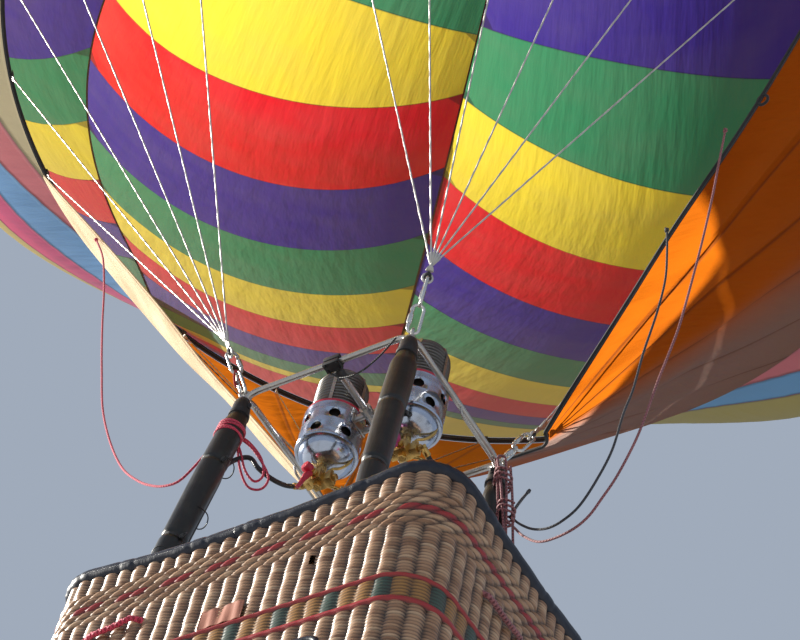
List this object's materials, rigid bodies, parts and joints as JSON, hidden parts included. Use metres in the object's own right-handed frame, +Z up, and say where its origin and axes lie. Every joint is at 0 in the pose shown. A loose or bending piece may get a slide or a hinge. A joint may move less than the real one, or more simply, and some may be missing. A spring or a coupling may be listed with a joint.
{
  "type": "hot air balloon",
  "caption": "hot air balloon with a wicker basket, padded uprights, twin burner on a steel load frame, wire rigging, half scoop and a lobed rainbow envelope with a parachute vent",
  "frame": {"origin": "centre of the envelope's widest circle, on its axis", "axes": "+Z up along the envelope's axis, +X along the basket's long side, +Y toward the scoop"},
  "size_m": [16.135, 16.135, 21.1945],
  "materials": {
    "wicker": "woven pale cane with red, gold and dark green bands",
    "plywood": "bare board",
    "rim_leather": "dark navy stitched hide",
    "gas_cylinder": "satin",
    "sleeve": "black padded cover, laced",
    "steel_tube": "polished tube",
    "bright_steel": "polished",
    "orange_fabric": "plain orange cloth",
    "rainbow_fabric": "bands of purple, green, yellow and red, lit through",
    "black_webbing": "woven tape",
    "steel_wire": "twisted wire rope",
    "polished_metal": "polished, bluish",
    "coil_steel": "ribbed fuel coil",
    "valve_brass": "machined",
    "red_paint": "red",
    "hose_rubber": "matt",
    "red_cord": "braided",
    "black_cord": "braided",
    "maroon_cord": "braided"
  },
  "bodies": {
    "balloon": {"basket_walls": "wicker", "basket_floor": "plywood", "rim_roll": "rim_leather", "cylinder_near": "gas_cylinder", "cylinder_left": "gas_cylinder", "cylinder_right": "gas_cylinder", "cylinder_back": "gas_cylinder", "upright_near": "sleeve", "upright_left": "sleeve", "upright_right": "sleeve", "upright_back": "sleeve", "load_frame": "steel_tube", "burner_cross_bar": "steel_tube", "carabiner_lower_near": "bright_steel", "carabiner_upper_near": "bright_steel", "carabiner_lower_left": "bright_steel", "carabiner_upper_left": "bright_steel", "carabiner_lower_right": "bright_steel", "carabiner_upper_right": "bright_steel", "carabiner_lower_back": "bright_steel", "carabiner_upper_back": "bright_steel", "mouth_band": "rainbow_fabric", "gore_01": "rainbow_fabric", "gore_02": "rainbow_fabric", "gore_03": "rainbow_fabric", "gore_04": "rainbow_fabric", "gore_05": "rainbow_fabric", "gore_06": "rainbow_fabric", "gore_07": "rainbow_fabric", "gore_08": "rainbow_fabric", "gore_09": "rainbow_fabric", "gore_10": "rainbow_fabric", "gore_11": "rainbow_fabric", "gore_12": "rainbow_fabric", "mouth_tape": "black_webbing", "wires_near": "steel_wire", "wires_left": "steel_wire", "wires_right": "steel_wire", "wires_back": "steel_wire", "scoop": "orange_fabric", "crown_tapes": "black_webbing", "hose_left": "hose_rubber", "hose_right": "hose_rubber", "cord_red": "red_cord", "cord_black": "black_cord", "cord_maroon": "maroon_cord", "cord_red_turns": "red_cord"},
    "burners": {"burner_bridge": "steel_tube", "burner_left_can": "polished_metal", "burner_left_coil": "coil_steel", "burner_left_valves": "valve_brass", "burner_left_handles": "red_paint", "burner_right_can": "polished_metal", "burner_right_coil": "coil_steel", "burner_right_valves": "valve_brass", "burner_right_handles": "red_paint"},
    "vent": {"parachute_vent": "rainbow_fabric"}
  },
  "joints": [
    {"name": "burner_tilt", "type": "hinge", "parent": "balloon", "child": "burners", "pos_m": [0.027, -0.04, -13.365], "axis": [0, 1, 0], "range_deg": [-8, 8]},
    {"name": "vent_slide", "type": "slide", "parent": "balloon", "child": "vent", "axis": [0, 0, 1], "range_m": [-0.9, 0]}
  ]
}
